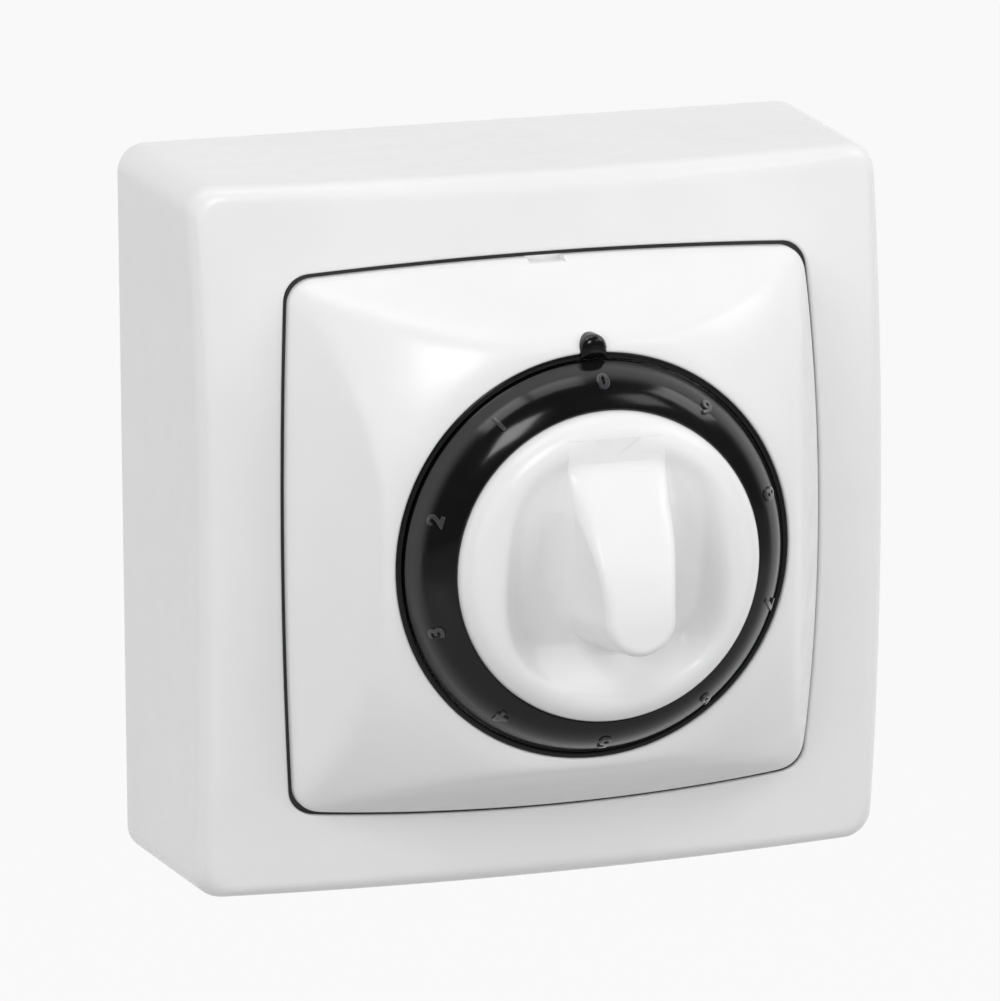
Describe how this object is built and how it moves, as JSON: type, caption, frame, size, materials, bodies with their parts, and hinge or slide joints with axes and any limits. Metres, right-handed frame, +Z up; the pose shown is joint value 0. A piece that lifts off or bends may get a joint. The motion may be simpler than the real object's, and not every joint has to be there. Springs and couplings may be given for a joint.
{
  "type": "clockwork timer switch",
  "caption": "Surface-mounted clockwork run-back timer switch with a square case, a dial ring and a turning knob",
  "frame": {"origin": "centre of the back face, on the wall plane", "axes": "+Z up, +Y into the wall, so the front looks along -Y; the dial turns about the Y axis"},
  "size_m": [0.086, 0.0631, 0.086],
  "materials": {
    "white_shell": "smooth gloss",
    "black_gloss": "polished",
    "base_moulding": "fine matt",
    "block_moulding": "fine matt",
    "brass": "rolled and lightly brushed",
    "steel": "zinc plated"
  },
  "bodies": {
    "case": {"surround": "white_shell", "cover_plate": "white_shell", "index_ring": "black_gloss", "cover_screws": "steel", "wall_base": "base_moulding", "chassis": "steel", "chassis_screws": "steel", "movement_back_plate": "brass", "movement_front_plate": "brass", "spindle_bush": "brass", "pillars": "steel", "plate_screws": "steel", "cover_spacers": "steel", "mainspring": "steel", "spring_post": "steel", "contact_blade": "brass", "fixed_contact": "brass", "switch_block": "block_moulding", "left_terminal": "brass", "right_terminal": "brass", "terminal_screws": "steel"},
    "dial": {"knob": "white_shell", "dial_ring": "black_gloss", "spindle": "steel", "retaining_clip": "steel", "great_wheel": "brass", "switch_cam": "block_moulding"},
    "second": {"second_arbor": "steel", "second_wheel": "brass"},
    "third": {"third_arbor": "steel", "third_wheel": "brass"},
    "escape": {"escape_arbor": "steel", "escape_wheel": "brass"},
    "balance": {"pallet_arbor": "steel", "pallet_anchor": "steel", "balance_wheel": "brass"}
  },
  "joints": [
    {"name": "dial_turn", "type": "hinge", "parent": "case", "child": "dial", "pos_m": [0, 0, 0], "axis": [0, 1, 0], "range_deg": [0, 324], "stiffness_Nm_per_rad": 0.004, "springref_deg": -57.3},
    {"name": "second_spin", "type": "hinge", "parent": "case", "child": "second", "pos_m": [-0.01273, 0, 0.00735], "axis": [0, 1, 0], "range_deg": [-1944, 0]},
    {"name": "third_spin", "type": "hinge", "parent": "case", "child": "third", "pos_m": [-0.00733, 0, 0.0167], "axis": [0, 1, 0], "range_deg": [0, 9720]},
    {"name": "escape_spin", "type": "hinge", "parent": "case", "child": "escape", "pos_m": [0.00167, 0, 0.0167], "axis": [0, 1, 0], "range_deg": [-48600, 0]},
    {"name": "balance_swing", "type": "hinge", "parent": "case", "child": "balance", "pos_m": [0.00966, 0, 0.0138], "axis": [0, 1, 0], "range_deg": [-7, 7]}
  ],
  "couplings": [
    {"joint": "second_spin", "follows": "dial_turn", "ratio": -6},
    {"joint": "third_spin", "follows": "dial_turn", "ratio": 30},
    {"joint": "escape_spin", "follows": "dial_turn", "ratio": -150}
  ]
}
